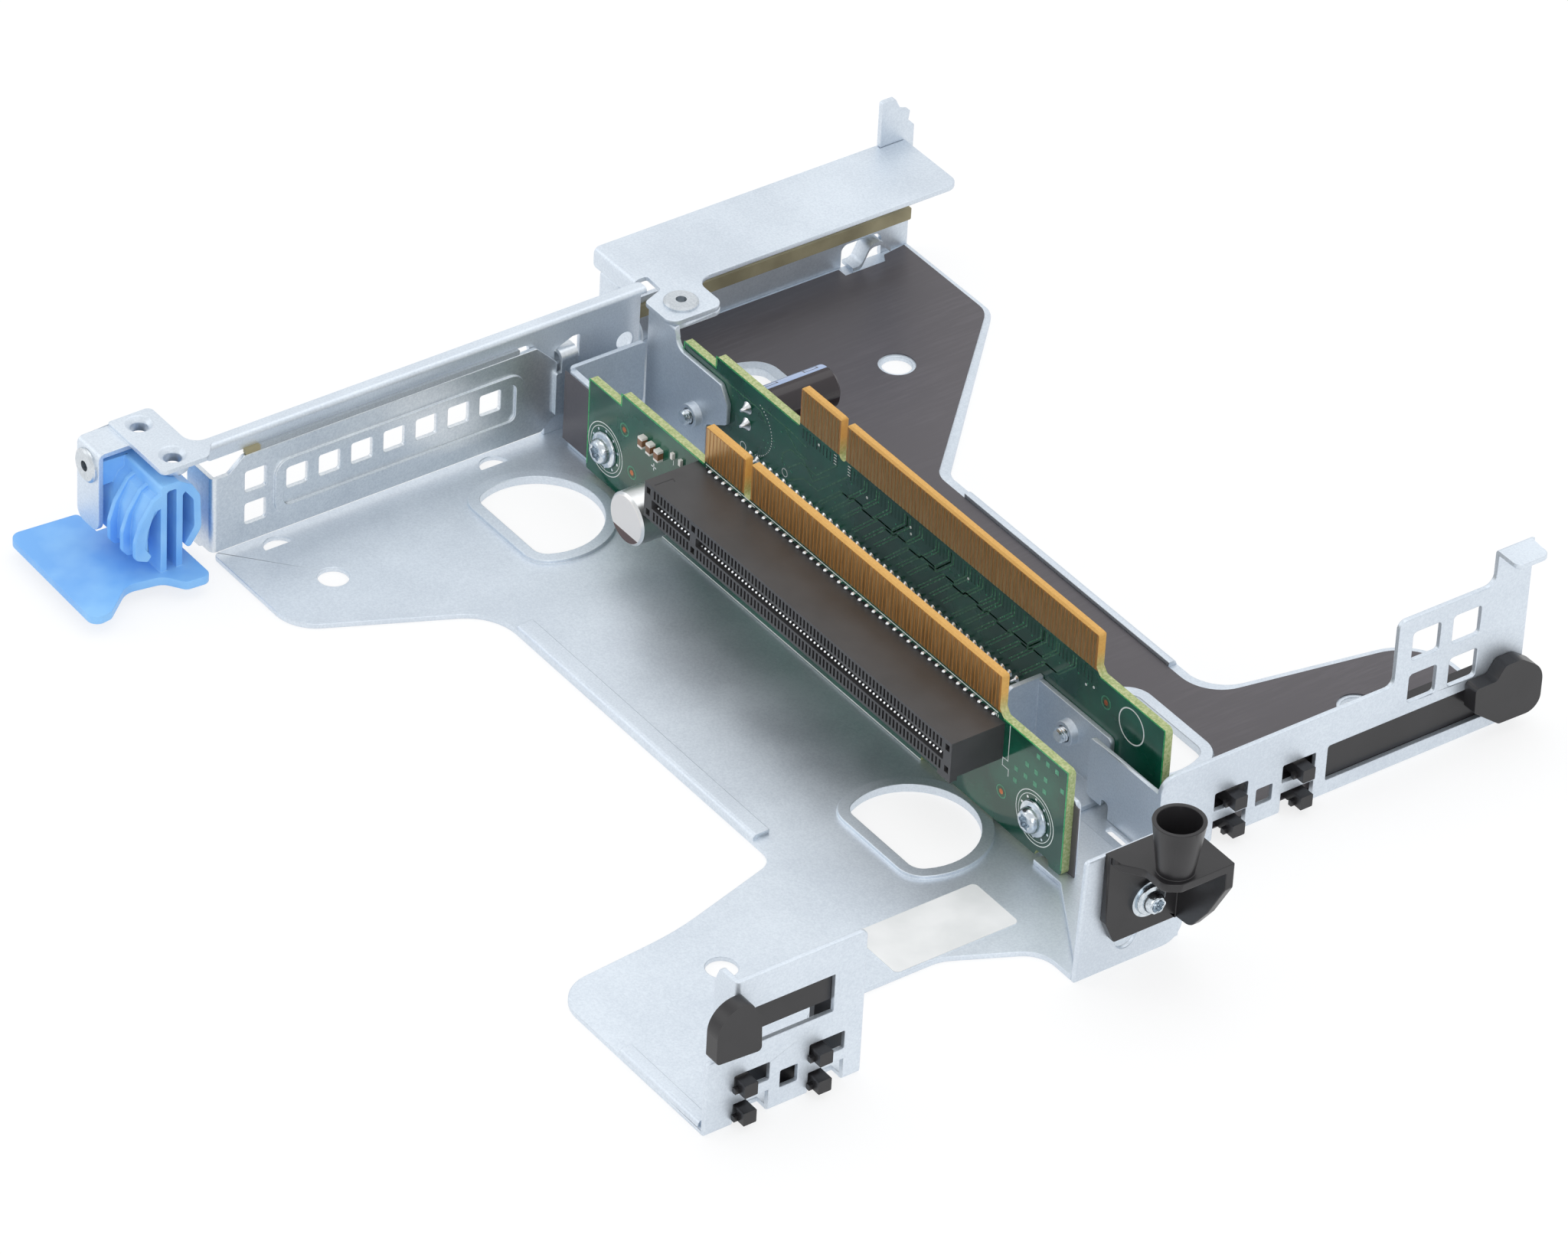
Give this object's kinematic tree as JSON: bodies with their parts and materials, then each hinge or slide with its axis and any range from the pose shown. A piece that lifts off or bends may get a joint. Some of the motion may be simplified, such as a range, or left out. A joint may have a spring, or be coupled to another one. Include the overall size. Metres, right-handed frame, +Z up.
{
  "type": "riser cage bracket",
  "caption": "Folded steel cage bracket that holds riser boards on edge, with slot connectors, card guides, a locating funnel and a release latch.",
  "frame": {"origin": "on the underside of the tray's floor, below the outer face of the left riser board, in line with the rear end of its row of edge contacts", "axes": "+X along the boards towards the front panels and the funnel, +Y across the boards towards the covered slot, +Z up, out of the tray's floor"},
  "size_m": [0.2097, 0.1962, 0.038],
  "materials": {
    "plated_steel": "zinc-plated sheet steel, satin",
    "spring_steel": "nickel-plated sheet steel",
    "gasket_foam": "beige conductive gasket",
    "black_film": "black insulating film",
    "green_board": "green solder mask",
    "gold_contact": "gold-plated contacts",
    "black_plastic": "black moulded plastic",
    "solder": "tinned pins",
    "screw_steel": "bright zinc plating",
    "can_aluminium": "bare aluminium can",
    "black_sleeve": "black sleeve with a pale stripe",
    "ceramic": "tan ceramic chips",
    "rivet_steel": "plated rivet",
    "blue_plastic": "blue moulded plastic",
    "label_paper": "bare white label"
  },
  "bodies": {
    "root": {"base_tray": "plated_steel", "left_front_panel": "plated_steel", "front_wall": "plated_steel", "right_front_panel": "plated_steel", "rear_wall": "plated_steel", "rear_gasket": "gasket_foam", "floor_insulator": "black_film", "rear_arm": "plated_steel", "slot_filler_bracket": "spring_steel", "filler_gasket": "gasket_foam", "filler_spring_clip": "spring_steel", "left_board_carrier": "plated_steel", "right_board_carrier": "plated_steel", "board_insulator": "black_film", "riser_board_left": "green_board", "edge_contacts_left": "gold_contact", "riser_board_right": "green_board", "edge_contacts_right": "gold_contact", "slot_connector_left": "black_plastic", "connector_pins_left": "solder", "slot_connector_right": "black_plastic", "connector_pins_right": "solder", "board_screws": "screw_steel", "silver_capacitor": "can_aluminium", "black_capacitor": "black_sleeve", "ceramic_capacitors": "ceramic", "slot_cover_plate": "plated_steel", "cover_rivet": "rivet_steel", "latch_rivet": "rivet_steel", "rear_wall_rivet": "rivet_steel", "funnel_guide": "black_plastic", "guide_washer": "screw_steel", "guide_screw": "screw_steel", "release_latch": "blue_plastic", "card_guide_left": "black_plastic", "card_guide_right": "black_plastic", "label": "label_paper"}
  },
  "joints": []
}
